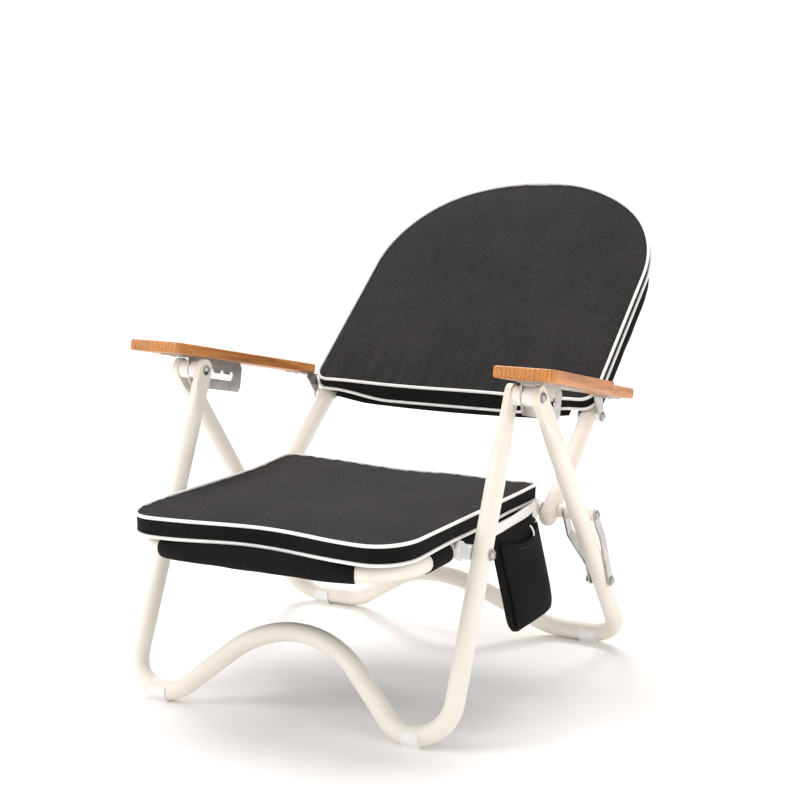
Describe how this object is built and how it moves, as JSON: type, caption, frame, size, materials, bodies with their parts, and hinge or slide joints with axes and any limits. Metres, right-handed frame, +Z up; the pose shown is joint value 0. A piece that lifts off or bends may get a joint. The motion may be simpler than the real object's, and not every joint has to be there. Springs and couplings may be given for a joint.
{
  "type": "folding lounge chair",
  "caption": "Low folding camp chair: two crossed tube loops, hinged padded seat, reclining padded arch back, notched teak arms and a hanging side pocket.",
  "frame": {"origin": "floor level, at the centre of the chair's footprint box, with the chair open and the back at full recline", "axes": "+Z up, -Y towards the front of the chair (where the sitter faces), +X to the sitter's left, the side with the pocket"},
  "size_m": [0.704, 1.0478, 0.7329],
  "materials": {
    "cream_paint": "smooth satin powder coat, warm off-white",
    "canvas": "matt plain-weave outdoor canvas, charcoal black",
    "tape": "white woven binding tape and piping",
    "teak": "oiled straight-grained teak with eased edges",
    "steel": "satin stainless sheet",
    "bolt_steel": "darker plain steel fasteners",
    "nylon": "white moulded nylon"
  },
  "bodies": {
    "rear_frame": {"rear_leg_frame": "cream_paint", "rear_foot_clips": "nylon", "leg_pivot_bolts_outer": "bolt_steel", "link_pivot_bolts": "bolt_steel"},
    "front_frame": {"front_leg_frame": "cream_paint", "front_foot_clips": "nylon", "leg_pivot_bolts_inner": "bolt_steel", "leg_spacers_inner": "nylon", "seat_pivot_spacers": "nylon", "seat_pivot_bolts": "bolt_steel"},
    "links": {"inner_links": "steel", "outer_links": "steel", "hinge_spacers": "cream_paint", "hinge_bolts": "bolt_steel"},
    "seat": {"seat_frame": "cream_paint", "seat_cross_bar": "cream_paint", "seat_sling": "canvas", "seat_sling_sleeves": "canvas", "seat_cushion": "canvas", "seat_pivot_studs": "bolt_steel", "hinge_washers": "nylon", "pocket_pouch": "canvas", "pocket_patch": "canvas", "pocket_tape": "tape", "pocket_tab": "tape", "seat_ties": "tape"},
    "back_hinge": {"hinge_stubs": "cream_paint"},
    "back": {"back_frame": "cream_paint", "back_end_caps": "cream_paint", "back_sling": "canvas", "back_sling_sleeve": "canvas", "back_cushion": "canvas", "arm_pivot_spacers": "nylon", "arm_pivot_bolts": "steel"},
    "arm_pivot": {"leg_spacers_outer": "nylon"},
    "arms": {"arm_board_left": "teak", "arm_board_right": "teak", "arm_brackets": "steel", "bracket_screws": "steel", "arm_rear_brackets": "steel", "rear_bracket_screws": "steel", "arm_pivot_heads": "bolt_steel"}
  },
  "joints": [
    {"name": "fold", "type": "hinge", "parent": "rear_frame", "child": "front_frame", "pos_m": [0, -0.23853, 0.461], "axis": [1, 0, 0], "range_deg": [0, 53]},
    {"name": "link_swing", "type": "hinge", "parent": "rear_frame", "child": "links", "pos_m": [0, 0.02402, 0.13446], "axis": [1, 0, 0], "range_deg": [-102.4, 0]},
    {"name": "seat_fold", "type": "hinge", "parent": "links", "child": "seat", "pos_m": [0, -0.03853, 0.252], "axis": [1, 0, 0], "range_deg": [0, 84.8]},
    {"name": "back_fold", "type": "hinge", "parent": "links", "child": "back_hinge", "pos_m": [0, -0.03853, 0.252], "axis": [1, 0, 0], "range_deg": [0, 164.5]},
    {"name": "recline", "type": "hinge", "parent": "back_hinge", "child": "back", "pos_m": [0, -0.03853, 0.252], "axis": [1, 0, 0], "range_deg": [0, 35.33]},
    {"name": "arm_tilt", "type": "hinge", "parent": "rear_frame", "child": "arm_pivot", "pos_m": [0, -0.23853, 0.461], "axis": [1, 0, 0], "range_deg": [0, 10.5]},
    {"name": "arm_slide", "type": "slide", "parent": "arm_pivot", "child": "arms", "axis": [0, -0.9794, 0.2021], "range_m": [0, 0.1102]}
  ],
  "couplings": [
    {"joint": "link_swing", "follows": "fold", "ratio": -1.9287},
    {"joint": "seat_fold", "follows": "fold", "ratio": 1.5961},
    {"joint": "back_fold", "follows": "fold", "ratio": 3.0992},
    {"joint": "arm_tilt", "follows": "recline", "ratio": 0.29321},
    {"joint": "arm_slide", "follows": "recline", "m_per_rad": 0.17841}
  ]
}
